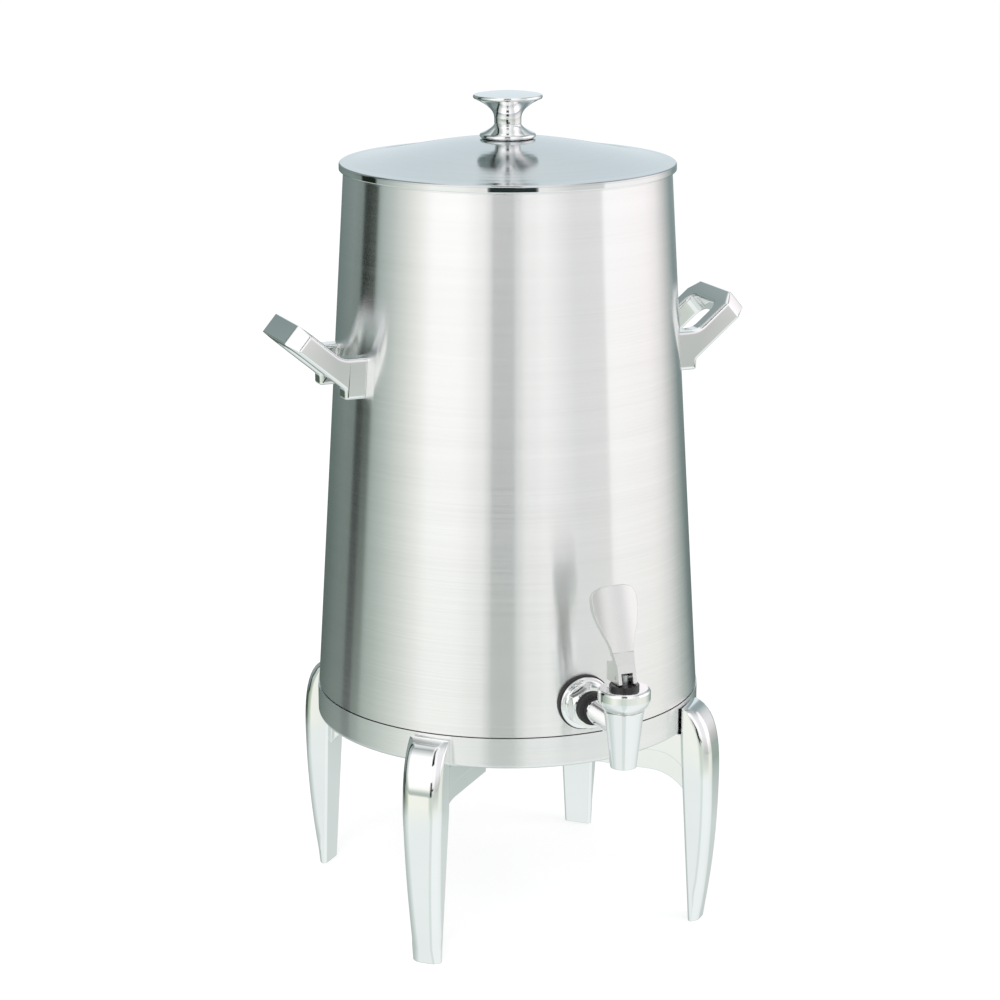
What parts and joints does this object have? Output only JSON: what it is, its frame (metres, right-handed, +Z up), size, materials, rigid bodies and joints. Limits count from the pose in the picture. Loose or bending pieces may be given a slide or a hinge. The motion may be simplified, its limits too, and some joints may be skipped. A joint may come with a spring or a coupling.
{
  "type": "insulated coffee urn with lever tap",
  "caption": "Tapered stainless insulated coffee urn on cast curved legs, with a lift-off domed lid, loop handles and a spring-closed lever tap.",
  "frame": {"origin": "on the floor, under the middle of the urn, in the plane of the four feet", "axes": "+Z up; -Y to the front, where the tap stands out; +X to the side of the right handle"},
  "size_m": [0.3786, 0.3886, 0.6435],
  "materials": {
    "brushed_body": "brushed round the body, satin",
    "satin_lid": "fine satin polish",
    "polished_chrome": "mirror polished",
    "satin_chrome": "satin",
    "liner_steel": "satin, inside of the tank",
    "plain_steel": "plain, as supplied",
    "black_rubber": "matt black",
    "black_plastic": "semi-gloss black",
    "seal_silicone": "matt off-white silicone",
    "lid_wool": "pressed fibre wool, hidden in the lid"
  },
  "bodies": {
    "root": {"outer_shell": "brushed_body", "inner_liner": "liner_steel", "mouth_ring": "brushed_body", "jacket_bottom": "plain_steel", "vacuum_seal_cap": "plain_steel", "base_pan": "brushed_body", "base_standoffs": "plain_steel", "base_screws": "plain_steel", "leg_front_left": "polished_chrome", "leg_front_right": "polished_chrome", "leg_rear_left": "polished_chrome", "leg_rear_right": "polished_chrome", "leg_screws": "plain_steel", "leg_washers": "plain_steel", "handle_left": "polished_chrome", "handle_right": "polished_chrome", "handle_pads": "plain_steel", "handle_screws": "plain_steel", "outlet_tube": "plain_steel", "escutcheon_gasket": "black_rubber", "escutcheon": "polished_chrome", "coupling_nut": "polished_chrome", "tap_washer": "black_rubber", "shank_ring": "black_rubber", "tap_body": "polished_chrome", "bonnet_nut": "polished_chrome", "bonnet_bush": "black_plastic", "tap_spring": "plain_steel"},
    "lid": {"lid_shell": "satin_lid", "lid_pan": "liner_steel", "lid_insulation": "lid_wool", "lid_gasket": "seal_silicone", "knob": "polished_chrome", "knob_base": "polished_chrome", "knob_screw": "plain_steel", "knob_washer": "plain_steel"},
    "valve_stem": {"tap_stem": "plain_steel", "seat_cup": "seal_silicone"},
    "lever": {"tap_lever": "satin_chrome", "lever_pin": "plain_steel"}
  },
  "joints": [
    {"name": "lid_lift", "type": "slide", "parent": "root", "child": "lid", "axis": [0, 0, 1], "range_m": [0, 0.2]},
    {"name": "tap_lift", "type": "slide", "parent": "root", "child": "valve_stem", "axis": [0, 0, 1], "range_m": [0, 0.0019], "deforming": ["tap_spring"]},
    {"name": "lever_tilt", "type": "hinge", "parent": "valve_stem", "child": "lever", "pos_m": [0, -0.219, 0.2445], "axis": [1, 0, 0], "range_deg": [0, 30], "stiffness_Nm_per_rad": 0.02695, "springref_deg": -130.98}
  ],
  "couplings": [
    {"joint": "tap_lift", "follows": "lever_tilt", "m_per_rad": 0.0035}
  ]
}
